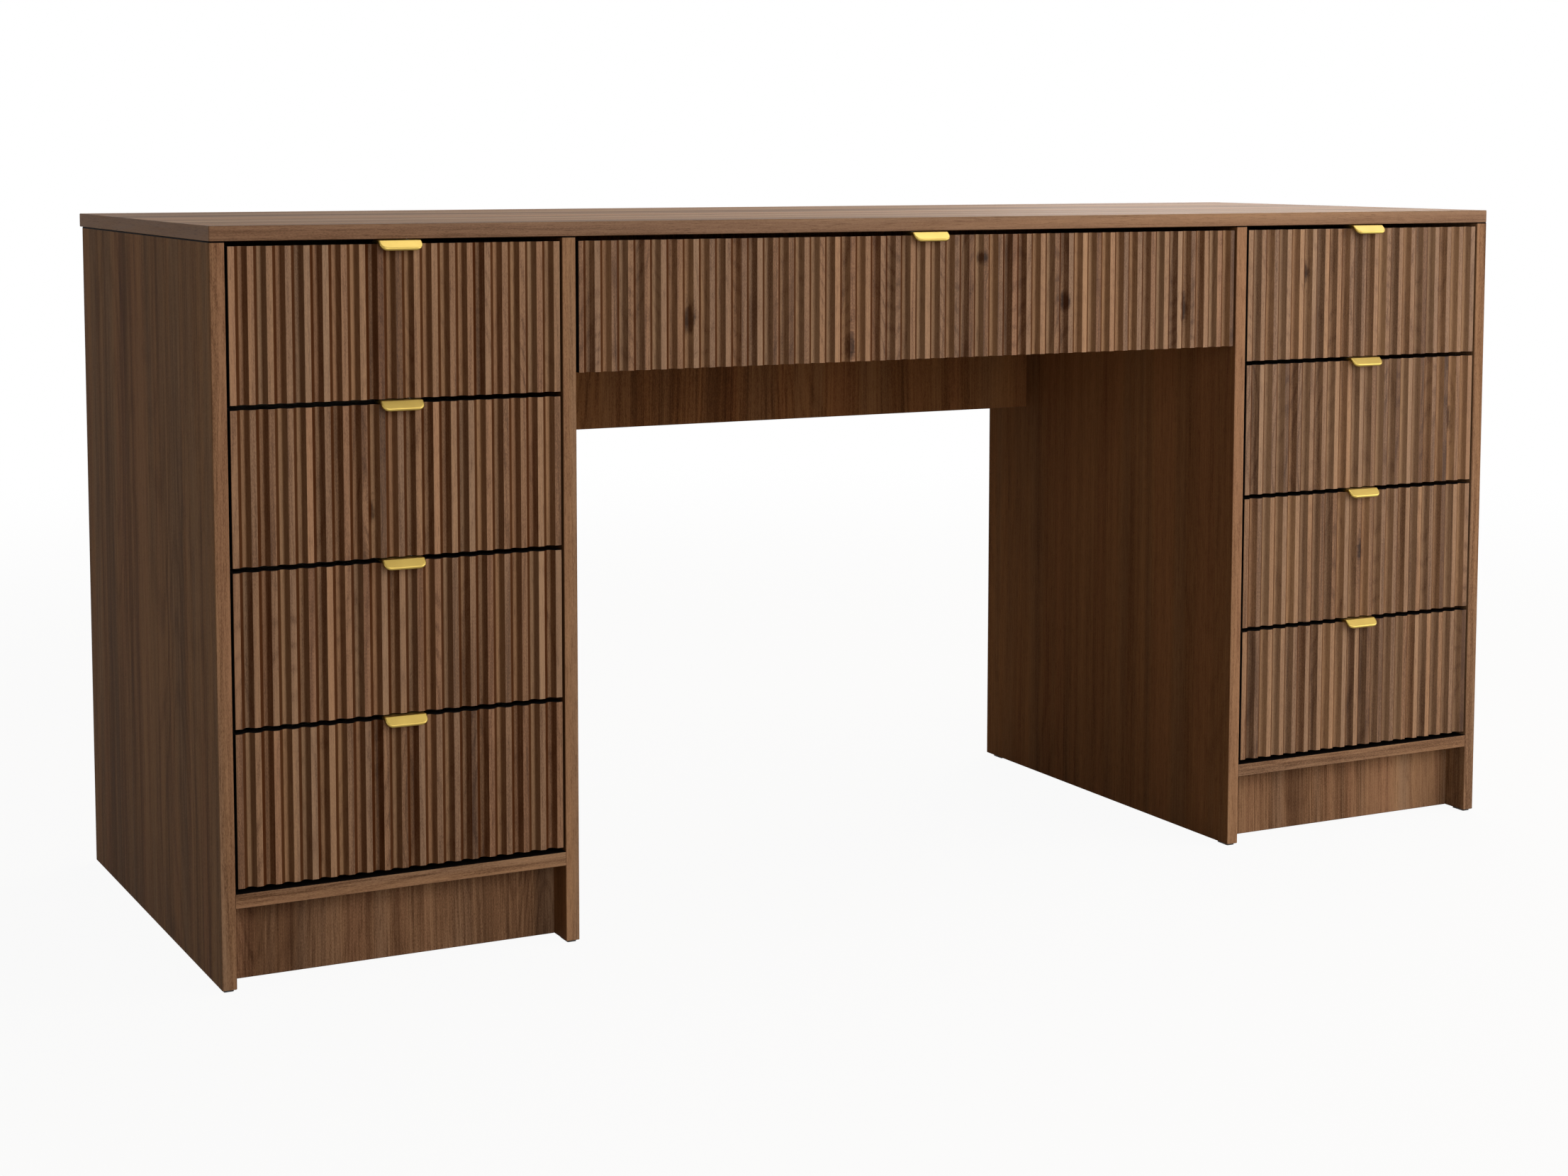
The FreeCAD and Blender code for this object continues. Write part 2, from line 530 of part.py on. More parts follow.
def make_runner(plan, panel, side_board, face_x, inwards):
    """A channel screwed to the cabinet's panel and the slide in it, screwed to the drawer's side.

    A lug on each meets the other's at full travel, and the channel's folded end stops the slide
    when the drawer is shut.
    """
    middle_z = plan.z_span[0] + DRAWER_RISE + RUNNER_RISE
    slide_end = RUNNER_Y + plan.runner_length
    channel_end = slide_end + SLIDE_PLAY + RUNNER_SHEET
    channel_outline, slide_outline = runner_outlines()

    def part(outline, y_span):
        return runner_piece(outline, face_x, inwards, middle_z, y_span)

    def rectangle(x_span, z_span):
        low = [(x, z_span[0]) for x in x_span]
        high = [(x, z_span[1]) for x in reversed(x_span)]
        return low + high

    throat = CHANNEL_DEPTH - RUNNER_SHEET
    roof = CHANNEL_HALF_HEIGHT - RUNNER_SHEET
    foot_top = SLIDE_FOOT_SETBACK + RUNNER_SHEET
    slide_lug = rectangle((foot_top, throat - SLIDE_PLAY), (SLIDE_HALF_HEIGHT, SLIDE_FOOT_HEIGHT))
    channel_lug = rectangle((foot_top + SLIDE_PLAY, throat), (SLIDE_HALF_HEIGHT + SLIDE_PLAY, roof))
    slide_lug_y = slide_end - STOP_LENGTH
    channel_lug_y = slide_lug_y - plan.travel - SLIDE_PLAY
    channel = part(channel_outline, (RUNNER_Y, channel_end)).fuse([
        part(rectangle((RUNNER_SHEET, throat), (-roof, roof)), (slide_end + SLIDE_PLAY, channel_end)),
        part(channel_lug, (channel_lug_y - STOP_LENGTH, channel_lug_y)),
    ])
    slide = part(slide_outline, (RUNNER_Y, slide_end)).fuse(part(slide_lug, (slide_lug_y, slide_end)))
    channel_piece = desk.add(plan.pedestal + "_cabinet_runners", channel.removeSplitter())
    slide_piece = desk.add(plan.name + "_hardware", slide.removeSplitter())
    into_cabinet = X_AXIS * -inwards
    for y in (RUNNER_Y + CHANNEL_SCREW_INSET, slide_end - CHANNEL_SCREW_INSET):
        seat = vector(face_x + inwards * RUNNER_SHEET, y, middle_z)
        screw("runner_screws", seat, into_cabinet, SCREW_LENGTH, (channel_piece, panel))
    for y in (RUNNER_Y + SLIDE_SCREW_INSET, slide_end - SLIDE_SCREW_INSET):
        seat = vector(face_x + inwards * (RUNNER_ROOM - RUNNER_SHEET), y, middle_z)
        screw(plan.name + "_hardware", seat, -into_cabinet, SLIDE_SCREW_LENGTH, (slide_piece, side_board))


class DrawerPlan:
    """What sets one drawer apart from the others."""

    def __init__(self, name, pedestal, x_inside, z_span, panels):
        centre = pedestal == "centre"
        self.name = name
        self.pedestal = pedestal
        self.x_inside = x_inside
        self.z_span = z_span
        self.panels = panels
        self.side_gap = CENTRE_SIDE_GAP if centre else FRONT_SIDE_GAP
        self.length = CENTRE_DRAWER_LENGTH if centre else DRAWER_LENGTH
        self.side_height = CENTRE_SIDE_HEIGHT if centre else DRAWER_SIDE_HEIGHT
        self.runner_length = CENTRE_RUNNER_LENGTH if centre else RUNNER_LENGTH
        self.travel = CENTRE_TRAVEL if centre else PEDESTAL_TRAVEL


def make_front(plan):
    """The fluted front with its pull, which is screwed down into its top edge."""
    x_span = (plan.x_inside[0] + plan.side_gap, plan.x_inside[1] - plan.side_gap)
    front = desk.add(plan.name + "_front", fluted_front(x_span, plan.z_span))
    middle_x = place_at(x_span, 1 / 2)
    top_z = plan.z_span[1]
    pull = desk.add(plan.name + "_handle", edge_pull(middle_x, top_z))
    for side in (-1, 1):
        x = middle_x + side * PULL_SCREW_SPREAD / 2
        seat = vector(x, FRONT_Y + PULL_SCREW_SETBACK, top_z + PULL_LEG)
        countersunk_screw(plan.name + "_hardware", seat, -Z_AXIS, PULL_SCREW_LENGTH, (pull, front))
    return front


def make_drawer_side(plan, front, back, face_x, inwards):
    """One side of the drawer, with what holds it to the front and to the back."""
    node = plan.name + "_box"
    hardware = plan.name + "_hardware"
    bottom_z = plan.z_span[0] + DRAWER_RISE
    outer_x = face_x + inwards * RUNNER_ROOM
    inner_x = outer_x + inwards * DRAWER_BOARD
    x_span = (min(outer_x, inner_x), max(outer_x, inner_x))
    y_span = (FRONT_BACK_Y, FRONT_BACK_Y + plan.length)
    z_span = (bottom_z, bottom_z + plan.side_height)
    piece = desk.add(node, board(x_span, y_span, z_span, DRAWER_EDGE, (Y_AXIS,)))
    cam_point = vector(inner_x, FRONT_BACK_Y + CAM_SETBACK, bottom_z + DRAWER_CAM_RISE)
    facing = X_AXIS * inwards
    cam_joint(piece, front, cam_point, facing, -Y_AXIS, DRAWER_BOARD, (hardware, hardware), FRONT_GRIP)
    edge = vector(outer_x + inwards * DRAWER_BOARD / 2, FRONT_BACK_Y, bottom_z + DRAWER_DOWEL_RISE)
    dowel(node, piece, front, edge, -Y_AXIS, DRAWER_DOWEL_RADIUS, FRONT_GRIP)
    back_span = (bottom_z + BOTTOM_RISE + DRAWER_BOTTOM, z_span[1])
    for share in CORNER_SCREW_SHARES:
        seat = vector(outer_x, y_span[1] - DRAWER_BOARD / 2, place_at(back_span, share))
        screw(hardware, seat, facing, CORNER_SCREW_LENGTH, (piece, back))
    return piece


def make_drawer_box(plan, front):
    """The sides, the back and the bottom, which is let into the sides and the front."""
    node = plan.name + "_box"
    bottom_z = plan.z_span[0] + DRAWER_RISE + BOTTOM_RISE
    rear_y = FRONT_BACK_Y + plan.length
    to_inside = RUNNER_ROOM + DRAWER_BOARD
    x_clear = (plan.x_inside[0] + to_inside, plan.x_inside[1] - to_inside)
    back_z = (bottom_z + DRAWER_BOTTOM, plan.z_span[0] + DRAWER_RISE + plan.side_height)
    back = desk.add(node, board(x_clear, (rear_y - DRAWER_BOARD, rear_y), back_z, DRAWER_EDGE, (X_AXIS,)))
    left = make_drawer_side(plan, front, back, plan.x_inside[0], 1)
    right = make_drawer_side(plan, front, back, plan.x_inside[1], -1)
    x_span = (x_clear[0] - BOTTOM_GROOVE, x_clear[1] + BOTTOM_GROOVE)
    bottom = block(x_span, (FRONT_BACK_Y - BOTTOM_GROOVE, rear_y), (bottom_z, back_z[0]))
    desk.add(node, bottom)
    for piece in (front, left, right):
        desk.drill(piece, bottom)
    return left, right


def make_drawer(plan):
    front = make_front(plan)
    left, right = make_drawer_box(plan, front)
    make_runner(plan, plan.panels[0], left, plan.x_inside[0], 1)
    make_runner(plan, plan.panels[1], right, plan.x_inside[1], -1)


def make_pedestal_drawers(pedestal, x_inside, panels):
    """The drawers of one pedestal, numbered from the top."""
    for number in range(1, ROWS + 1):
        low = FLOOR_BOARD_TOP + ROW_GAP + (ROWS - number) * (FRONT_HEIGHT + ROW_GAP)
        name = pedestal + "_drawer_" + str(number)
        make_drawer(DrawerPlan(name, pedestal, x_inside, (low, low + FRONT_HEIGHT), panels))


top = make_desktop()
left_outer, left_inner, left_inside = make_pedestal("left", -1, top)
right_outer, right_inner, right_inside = make_pedestal("right", 1, top)
make_modesty_panel(left_inner, right_inner, top)
make_pedestal_drawers("left", left_inside, (left_outer, left_inner))
make_pedestal_drawers("right", right_inside, (right_inner, right_outer))
centre_top = DESKTOP_Z - ROW_GAP
centre_span = (centre_top - CENTRE_FRONT_HEIGHT, centre_top)
knee_inside = (-KNEE_HALF, KNEE_HALF)
make_drawer(DrawerPlan("centre_drawer", "centre", knee_inside, centre_span, (left_inner, right_inner)))
desk.write()
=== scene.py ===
import json
import math

import bpy
from mathutils import Matrix, Vector


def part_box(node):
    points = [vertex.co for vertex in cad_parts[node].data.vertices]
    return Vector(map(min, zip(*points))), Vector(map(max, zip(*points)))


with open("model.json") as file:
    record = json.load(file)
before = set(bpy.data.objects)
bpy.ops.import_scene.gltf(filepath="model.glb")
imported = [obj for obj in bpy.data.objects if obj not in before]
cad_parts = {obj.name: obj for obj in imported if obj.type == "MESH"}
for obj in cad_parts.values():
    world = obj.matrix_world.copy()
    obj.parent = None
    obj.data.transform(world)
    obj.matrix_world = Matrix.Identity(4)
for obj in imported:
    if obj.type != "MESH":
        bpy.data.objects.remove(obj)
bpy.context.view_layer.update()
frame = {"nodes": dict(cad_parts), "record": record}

# The desk's finish, its floor, its light and its camera. Metres throughout. Colours are written as
# 8-bit screen values, and screen_colour turns them into the linear ones that shaders take.

nodes = frame["nodes"]
MM = 0.001

# Nearly all of a smooth noise lies between these two values.
NOISE_SPAN = (0.3, 0.7)


def screen_colour(red, green, blue):
    """A screen colour, 0 to 255 a channel, as the linear colour that shaders take."""
    def linear(value):
        share = value / 255
        return share / 12.92 if share <= 0.04045 else ((share + 0.055) / 1.055) ** 2.4
    return (linear(red), linear(green), linear(blue), 1.0)


class Graph:
    """A material's node tree, with one short call for each kind of node."""

    def __init__(self, name):
        self.material = bpy.data.materials.new(name)
        self.material.use_nodes = True
        self.tree = self.material.node_tree
        self.shader = self.tree.nodes["Principled BSDF"]

    def node(self, kind, **settings):
        made = self.tree.nodes.new(kind)
        for name, value in settings.items():
            setattr(made, name, value)
        return made

    def feed(self, socket, value):
        """Link a socket to another, or set it to a plain value."""
        if isinstance(value, bpy.types.NodeSocket):
            self.tree.links.new(value, socket)
        else:
            socket.default_value = value

    def set(self, **inputs):
        """Set the shader's inputs, named with underscores for spaces."""
        for name, value in inputs.items():
            self.feed(self.shader.inputs[name.replace("_", " ")], value)

    def place(self):
        """The piece's own coordinates, which move with it."""
        return self.node("ShaderNodeTexCoord").outputs["Object"]

    def facing(self):
        """The surface's outward direction in the piece's own axes."""
        return self.node("ShaderNodeTexCoord").outputs["Normal"]

    def split(self, vector):
        """A vector's x, y and z."""
        node = self.node("ShaderNodeSeparateXYZ")
        self.feed(node.inputs[0], vector)
        return node.outputs[0], node.outputs[1], node.outputs[2]

    def join(self, x, y, z):
        """A vector from its x, y and z."""
        node = self.node("ShaderNodeCombineXYZ")
        for socket, value in zip(node.inputs, (x, y, z)):
            self.feed(socket, value)
        return node.outputs[0]

    def math(self, operation, *values):
        node = self.node("ShaderNodeMath", operation=operation)
        for socket, value in zip(node.inputs, values):
            self.feed(socket, value)
        return node.outputs[0]

    def swing(self, value, width):
        """A value of 0 to 1 as a swing to both sides of 0, this wide in all."""
        return self.math("MULTIPLY", self.math("SUBTRACT", value, 0.5), width)

    def stretch(self, vector, scale, offset=(0, 0, 0)):
        """A vector scaled on each axis and then moved."""
        node = self.node("ShaderNodeMapping")
        self.feed(node.inputs["Vector"], vector)
        self.feed(node.inputs["Location"], offset)
        self.feed(node.inputs["Scale"], scale)
        return node.outputs[0]

    def noise(self, vector, scale, detail=2.0, roughness=0.5, offset=(0, 0, 0)):
        """Smooth noise, 0 to 1 about a middle of 0.5, at so many cycles a metre on each axis."""
        node = self.node("ShaderNodeTexNoise", noise_dimensions="3D")
        self.feed(node.inputs["Vector"], self.stretch(vector, scale, offset))
        self.feed(node.inputs["Scale"], 1.0)
        self.feed(node.inputs["Detail"], detail)
        self.feed(node.inputs["Roughness"], roughness)
        return node.outputs[0]

    def dice(self, value):
        """A random number, 0 to 1, for each value."""
        node = self.node("ShaderNodeTexWhiteNoise", noise_dimensions="1D")
        self.feed(node.inputs["W"], value)
        return node.outputs["Value"]

    def remap(self, value, low, high, to_low=0.0, to_high=1.0, smooth=False):
        """A value's place between low and high as a place between two others, and no further."""
        node = self.node("ShaderNodeMapRange")
        node.interpolation_type = "SMOOTHSTEP" if smooth else "LINEAR"
        for socket, given in zip(node.inputs, (value, low, high, to_low, to_high)):
            self.feed(socket, given)
        return node.outputs[0]

    def choose(self, share, first, second):
        """The first number where the share is 0, and the second where it is 1."""
        return self.remap(share, 0.0, 1.0, first, second)

    def spread(self, noise, low, high):
        """A number that follows noise from its low to its high end."""
        return self.remap(noise, *NOISE_SPAN, low, high)

    def length(self, across, up):
        """The length of a line from its extent both ways."""
        squares = self.math("ADD", self.math("POWER", across, 2.0), self.math("POWER", up, 2.0))
        return self.math("SQRT", squares)

    def mix(self, share, first, second, blend="MIX"):
        """The first colour where the share is 0, and the second where it is 1."""
        node = self.node("ShaderNodeMix", data_type="RGBA", blend_type=blend)
        self.feed(node.inputs["Factor"], share)
        colours = [socket for socket in node.inputs if socket.type == "RGBA"]
        self.feed(colours[0], first)
        self.feed(colours[1], second)
        return next(socket for socket in node.outputs if socket.type == "RGBA")

    def tinted(self, colour, tint):
        """A colour multiplied by another."""
        return self.mix(1.0, colour, tint, "MULTIPLY")

    def ramp(self, share, stops):
        """A colour that changes with a share, through stops of place and colour."""
        node = self.node("ShaderNodeValToRGB")
        self.feed(node.inputs[0], share)
        elements = node.color_ramp.elements
        while len(elements) < len(stops):
            elements.new(1.0)
        for element, (place, colour) in zip(elements, stops):
            element.position = place
            element.color = colour
        return node.outputs[0]

    def shades(self, noise, dark, light):
        """A colour that follows noise from dark to light."""
        return self.ramp(noise, tuple(zip(NOISE_SPAN, (dark, light))))

    def bump(self, height, distance, strength):
        """Relief on the shader, its full height so far above its lowest point."""
        node = self.node("ShaderNodeBump")
        self.feed(node.inputs["Height"], height)
        self.feed(node.inputs["Distance"], distance)
        self.feed(node.inputs["Strength"], strength)
        self.feed(self.shader.inputs["Normal"], node.outputs[0])


# Walnut colours

WALNUT_DARK = screen_colour(70, 47, 34)
WALNUT_LOW = screen_colour(107, 77, 58)
WALNUT_MIDDLE = screen_colour(131, 98, 76)
WALNUT_HIGH = screen_colour(157, 121, 94)
RED_TINT = screen_colour(255, 248, 236)
YELLOW_TINT = screen_colour(254, 252, 238)
GREY_TINT = screen_colour(244, 249, 245)
PORE_TINT = screen_colour(150, 132, 122)
KNOT_TINT = screen_colour(98, 84, 74)
EDGE_BLACK = screen_colour(14, 11, 10)

# Stops of place and colour, from dark to light and from warm to cool.
WALNUT_STOPS = ((0.0, WALNUT_DARK), (0.36, WALNUT_LOW), (0.55, WALNUT_MIDDLE), (1.0, WALNUT_HIGH))
WARMTH_STOPS = ((0.15, RED_TINT), (0.5, YELLOW_TINT), (0.9, GREY_TINT))

# How high the finest grain stands, where a pore that is all dark is 1 deep.
FINE_RELIEF = 0.4


def walnut_colour(graph, share, pores, warmth):
    tinted = graph.tinted(graph.ramp(share, WALNUT_STOPS), graph.ramp(warmth, WARMTH_STOPS))
    return graph.mix(pores, tinted, graph.tinted(tinted, PORE_TINT))


def finish_walnut(graph, colour, fine, pores, sheen):
    """Satin walnut with its finest grain and its pores in relief."""
    graph.set(Base_Color=colour, Specular_IOR_Level=sheen, Roughness=graph.spread(fine, 0.48, 0.6))
    relief = graph.math("SUBTRACT", graph.math("MULTIPLY", fine, FINE_RELIEF), pores)
    graph.bump(relief, 0.06 * MM, strength=0.6)
    return graph.material


# Walnut grain

# Each kind of mark in the grain: how often it comes, a metre across the grain and along it, how many
# finer layers its noise has, and how rough that noise is.
BEND = (3.0, 1.3, 2.0, 0.5)
BROAD = (11.0, 0.45, 6.0, 0.62)
STREAK = (70.0, 1.1, 4.0, 0.6)
FINE = (420.0, 6.0, 3.0, 0.7)
FLECK = (1700.0, 420.0, 1.0, 0.5)
PORE = (1300.0, 60.0, 1.0, 0.5)
WARMTH = (24.0, 0.7, 2.0, 0.5)
ARCH_ZONE = (4.0, 0.6, 1.0, 0.5)
RING_DETAIL = 1.0
RING_ROUGHNESS = 0.4

# The grain bends aside within this width.
BEND_WIDTH = 0.045

# Arches are rings in a slow noise: so many from its lowest to its highest value. Each is dark up to
# this distance from its line, where the next ring's line is 1 away.
RINGS = 26.0
RING_DARK = 0.28

# The share of light wood where every mark is at its middle, and how much each kind changes it.
MIDDLE_SHARE = 0.52
STREAK_WEIGHT = 0.95
FINE_WEIGHT = 0.8
FLECK_WEIGHT = 0.6

# The noise values between which the pores get darker, and how dark they get.
PORE_FADE = (0.57, 0.7)
PORE_DARKNESS = 0.4

# The noise values between which the tint changes from one end of its stops to the other.
WARMTH_FADE = (0.35, 0.65)

# How far each step of a seed moves the noise on its three axes.
SEED_STEP = (1.73, 2.31, 0.57)

# Figures: how strong a board's arches and broad clouds are, how often its arches come, a metre
# across the grain and along it, and the two noise values between which the arches fade in.
PLAIN_FIGURE = {"arch": 0.13, "cloud": 1.15, "across": 6.5, "along": 1.1, "zone": (0.46, 0.62)}
FRONT_FIGURE = {"arch": 0.17, "cloud": 1.3, "across": 8.0, "along": 2.4, "zone": (0.42, 0.58)}
DESKTOP_FIGURE = {"arch": 0.13, "cloud": 2.1, "across": 6.5, "along": 1.1, "zone": (0.46, 0.62)}
WILD_FIGURE = {"arch": 0.17, "cloud": 1.9, "across": 13.0, "along": 1.9, "zone": (0.4, 0.56)}


def marks(graph, place, kind, offset):
    """Noise of one kind of mark, whose grain runs along the place's third axis."""
    across, along, detail, roughness = kind
    return graph.noise(place, (across, across, along), detail, roughness, offset)


def arches(graph, place, figure, seed, offset):
    """How much the dark lines of arched figure take from the share, where the board has any."""
    kind = (figure["across"], figure["along"], RING_DETAIL, RING_ROUGHNESS)
    rings = graph.math("MULTIPLY", marks(graph, place, kind, offset), RINGS)
    from_line = graph.math("PINGPONG", rings, 0.5)
    line = graph.remap(from_line, 0.0, RING_DARK, 1.0, 0.0, True)
    zone_offset = (7.1, seed, 3.3)
    zone = graph.remap(marks(graph, place, ARCH_ZONE, zone_offset), *figure["zone"])
    return graph.math("MULTIPLY", graph.math("MULTIPLY", line, zone), -figure["arch"])


def grain(graph, across, depth, run, seed, figure=PLAIN_FIGURE):
    """Walnut figure as a share from dark to light, with its pores, its warmth and its finest grain.

    run is the distance along the grain, across and depth the two distances square to it.
    """
    offset = tuple(seed * step for step in SEED_STEP)
    straight = graph.join(across, depth, run)
    bend = graph.swing(marks(graph, straight, BEND, offset), BEND_WIDTH)
    bent = graph.join(graph.math("ADD", across, bend), depth, run)
    fine = marks(graph, bent, FINE, offset)
    parts = (
        graph.swing(marks(graph, bent, BROAD, offset), figure["cloud"]),
        graph.swing(marks(graph, bent, STREAK, offset), STREAK_WEIGHT),
        graph.swing(fine, FINE_WEIGHT),
        graph.swing(marks(graph, bent, FLECK, offset), FLECK_WEIGHT),
        arches(graph, bent, figure, seed, offset),
    )
    share = MIDDLE_SHARE
    for part in parts:
        share = graph.math("ADD", part, share)
    pores = graph.remap(marks(graph, bent, PORE, offset), *PORE_FADE, 0.0, PORE_DARKNESS)
    warmth_offset = (seed, 9.7, 1.9)
    warmth = graph.remap(marks(graph, bent, WARMTH, warmth_offset), *WARMTH_FADE)
    return share, pores, warmth, fine


# Walnut boards

# A face looks along an axis where its direction has more than this share of it.
FACE_SHARE = 0.7

# A face counts as upright where less than the first share of its direction points up or down, and
# as flat where more than the second does.
TOP_SHARES = (0.6, 0.8)

# A rounded edge is darkest where no axis has more than the first share of its direction, and as
# light as the board where one has the second.
EASED_SHARES = (0.86, 0.97)
EASED_DARKNESS = 0.3


def looks_along(graph, toward, axis):
    """1 on the faces that look along an axis, to either side, and 0 on the others."""
    return graph.math("GREATER_THAN", toward[axis], FACE_SHARE)


def board_grain(graph, places, toward, along, seed, figure):
    """Grain along Z or X, and on the ends of a board along X, the grain of its long edges."""
    x, y, z = places["x"], places["y"], places["z"]
    if along == "Z":
        return grain(graph, x, y, z, seed, figure)
    on_end = looks_along(graph, toward, "x")
    return grain(graph, graph.choose(on_end, y, x), z, graph.choose(on_end, x, y), seed, figure)


def eased_edges(graph, toward):
    """How much darker a board's rounded edges are than its faces."""
    flattest = graph.math("MAXIMUM", graph.math("MAXIMUM", toward["x"], toward["y"]), toward["z"])
    return graph.remap(flattest, *EASED_SHARES, EASED_DARKNESS, 0.0)


def inside_band(graph, places, toward, band):
    """1 in a band between two places on an axis, and 0 elsewhere.

    A band on Y is only on the faces that look up or down.
    """
    axis, low, high = band
    above = graph.math("GREATER_THAN", places[axis], low)
    inside = graph.math("MULTIPLY", above, graph.math("LESS_THAN", places[axis], high))
    if axis == "y":
        inside = graph.math("MULTIPLY", inside, looks_along(graph, toward, "z"))
    return inside


def board_walnut(name, along, seed, sheen, lift=0.0, contrast=1.0, edge_contrast=None,
                 figure=PLAIN_FIGURE, tones=None, dark_band=None):
    """Walnut-pattern board, its grain along X or Z.

    lift makes the board lighter, and contrast its figure stronger. edge_contrast is the contrast of
    the upright faces, where it isn't that of the top. tones holds, for an axis, the colour that
    multiplies the faces which look along it. dark_band gives an axis and the two places on it between
    which the board is painted black as shade, as in the shadow line of a joint or the floor of a gap.
    """
    graph = Graph(name)
    places = dict(zip("xyz", graph.split(graph.place())))
    facing = zip("xyz", graph.split(graph.facing()))
    toward = {axis: graph.math("ABSOLUTE", value) for axis, value in facing}
    share, pores, warmth, fine = board_grain(graph, places, toward, along, seed, figure)
    if edge_contrast is not None:
        contrast = graph.remap(toward["z"], *TOP_SHARES, edge_contrast, contrast)
    change = graph.math("MULTIPLY", graph.math("SUBTRACT", share, MIDDLE_SHARE), contrast)
    colour = walnut_colour(graph, graph.math("ADD", change, MIDDLE_SHARE + lift), pores, warmth)
    for axis, tone in (tones or {}).items():
        colour = graph.mix(looks_along(graph, toward, axis), colour, graph.tinted(colour, tone))
    colour = graph.mix(eased_edges(graph, toward), colour, WALNUT_DARK)
    # Painted shade, black, in the board's band where it has one.
    if dark_band:
        colour = graph.mix(inside_band(graph, places, toward, dark_band), colour, EDGE_BLACK)
    return finish_walnut(graph, colour, fine, pores, sheen)


# Fluted fronts

# The flutes repeat at this pitch, and their crests are this wide.
FLUTE_PITCH = 18.8 * MM
FLUTE_CREST = 6.2 * MM

# The colour of the painted shade on the flutes' flanks, and a tint over the flutes.
FLANK_SHADE_COLOUR = screen_colour(60, 25, 3)
FLOOR_TINT = screen_colour(241, 239, 232)

# How much the share of light wood differs from slat to slat, and from cloud to cloud.
SLAT_TONES = 0.38
CLOUD_TONES = 0.5
CLOUD_RATE = (13.0, 1.0, 2.6)

# Each slat is cut from another place of the board, up to this far away.
SLAT_SHIFT = 0.9

# What keeps the random tones and the random warmths of the fronts apart.
TONE_SEED = 31.7
WARMTH_SEED = 17.3
WARMTH_START = 0.25

# How much of a slat's warmth is the board's, and how much its own.
BOARD_WARMTH = 0.35
SLAT_WARMTH = 0.75

# Painted light, shade and sheen that change along the desk: the value in the middle, and what each
# metre to the right adds. The flutes are lighter than the crests, and more so to the right; the
# crests get a little darker to the right, the fronts greyer as a painted sheen, and the right
# flanks' painted shade fades.
CREST_PAINTED_LIGHT = (0.06, -0.02)
FLUTE_PAINTED_LIGHT = (0.12, 0.02)
FRONT_TINT_AND_SHEEN = (0.1, 0.25)
RIGHT_FLANK_SHADE = (0.42, -0.38)

# The left flanks take the same painted shade everywhere. A flank takes more painted shade as it turns
# sideways, from the first share of its direction along the desk to the second.
LEFT_FLANK_SHADE = 0.86
LEFT_FLANK_TURN = (0.25, 0.7)
RIGHT_FLANK_TURN = (-0.25, -0.72)

# The more painted shade a flank has, the less it reflects: from the first shade to the second, its
# reflection falls from the first level to the second.
SHEEN_SHADES = (0.1, 0.5)
SHEEN_LEVELS = (0.13, 0.01)

# A front's side edges lie within this distance of its ends, and the faces of its rim look along
# their axis by more than this share.
RIM_DEPTH = 0.3 * MM
RIM_SHARE = 0.8

# Knots that run across the flutes: distance along the desk, height, half-width, half-height.
KNOTS = (
    (-0.289, 0.652, 0.006, 0.019),
    (-0.096, 0.617, 0.005, 0.015),
    (0.182, 0.659, 0.006, 0.012),
    (0.346, 0.647, 0.006, 0.020),
    (0.071, 0.710, 0.006, 0.008),
    (0.524, 0.684, 0.005, 0.014),
    (0.748, 0.500, 0.005, 0.018),
    (0.612, 0.345, 0.005, 0.013),
    (-0.640, 0.470, 0.004, 0.012),
)

# A knot pushes the grain this far aside where it is so many half-widths from its middle, and out
# to this many times its own size.
KNOT_PUSH = 0.012
KNOT_SIDE = 2.0
KNOT_REACH = 4.5

# How many times its own size a knot's heart and its rim are, how dark the heart is, and how ragged
# the rim.
KNOT_HEART = 0.4
KNOT_RIM = 1.3
KNOT_DARKNESS = 0.85
KNOT_RAGGED_RATE = (260.0, 1.0, 90.0)
KNOT_RAGGED = 1.4


def along_desk(change, place):
    """A value that changes along the desk, at a place."""
    in_middle, each_metre = change
    return in_middle + each_metre * place


def knot_shares(graph, x, z, knot):
    """How dark a knot makes each point, from its heart out to its rim, and how far the grain near
    it is pushed aside."""
    place_x, place_z, half_width, half_height = knot
    u = graph.math("DIVIDE", graph.math("SUBTRACT", x, place_x), half_width)
    v = graph.math("DIVIDE", graph.math("SUBTRACT", z, place_z), half_height)
    distance = graph.length(u, v)
    side = graph.remap(u, -KNOT_SIDE, KNOT_SIDE, -KNOT_PUSH, KNOT_PUSH)
    push = graph.math("MULTIPLY", side, graph.remap(distance, 0.0, KNOT_REACH, 1.0, 0.0, True))
    flat = graph.join(x, 0.0, z)
    ragged = graph.noise(flat, KNOT_RAGGED_RATE, 2.0, 0.6, (place_x, 0.0, place_z))
    distance = graph.math("ADD", distance, graph.swing(ragged, KNOT_RAGGED))
    return graph.remap(distance, KNOT_HEART, KNOT_RIM, KNOT_DARKNESS, 0.0, True), push


def count_slats(graph, x, middle):
    """1 in a flute and 0 on a crest, and a number of its own for each crest and each flute."""
    place = graph.math("DIVIDE", graph.math("SUBTRACT", x, middle), FLUTE_PITCH)
    crest_number = graph.math("ROUND", place)
    from_crest = graph.math("ABSOLUTE", graph.math("SUBTRACT", place, crest_number))
    in_flute = graph.math("GREATER_THAN", from_crest, FLUTE_CREST / FLUTE_PITCH / 2)
    flute_number = graph.math("ADD", graph.math("FLOOR", place), 0.5)
    step = graph.math("MULTIPLY", in_flute, graph.math("SUBTRACT", flute_number, crest_number))
    return in_flute, graph.math("ADD", crest_number, step)


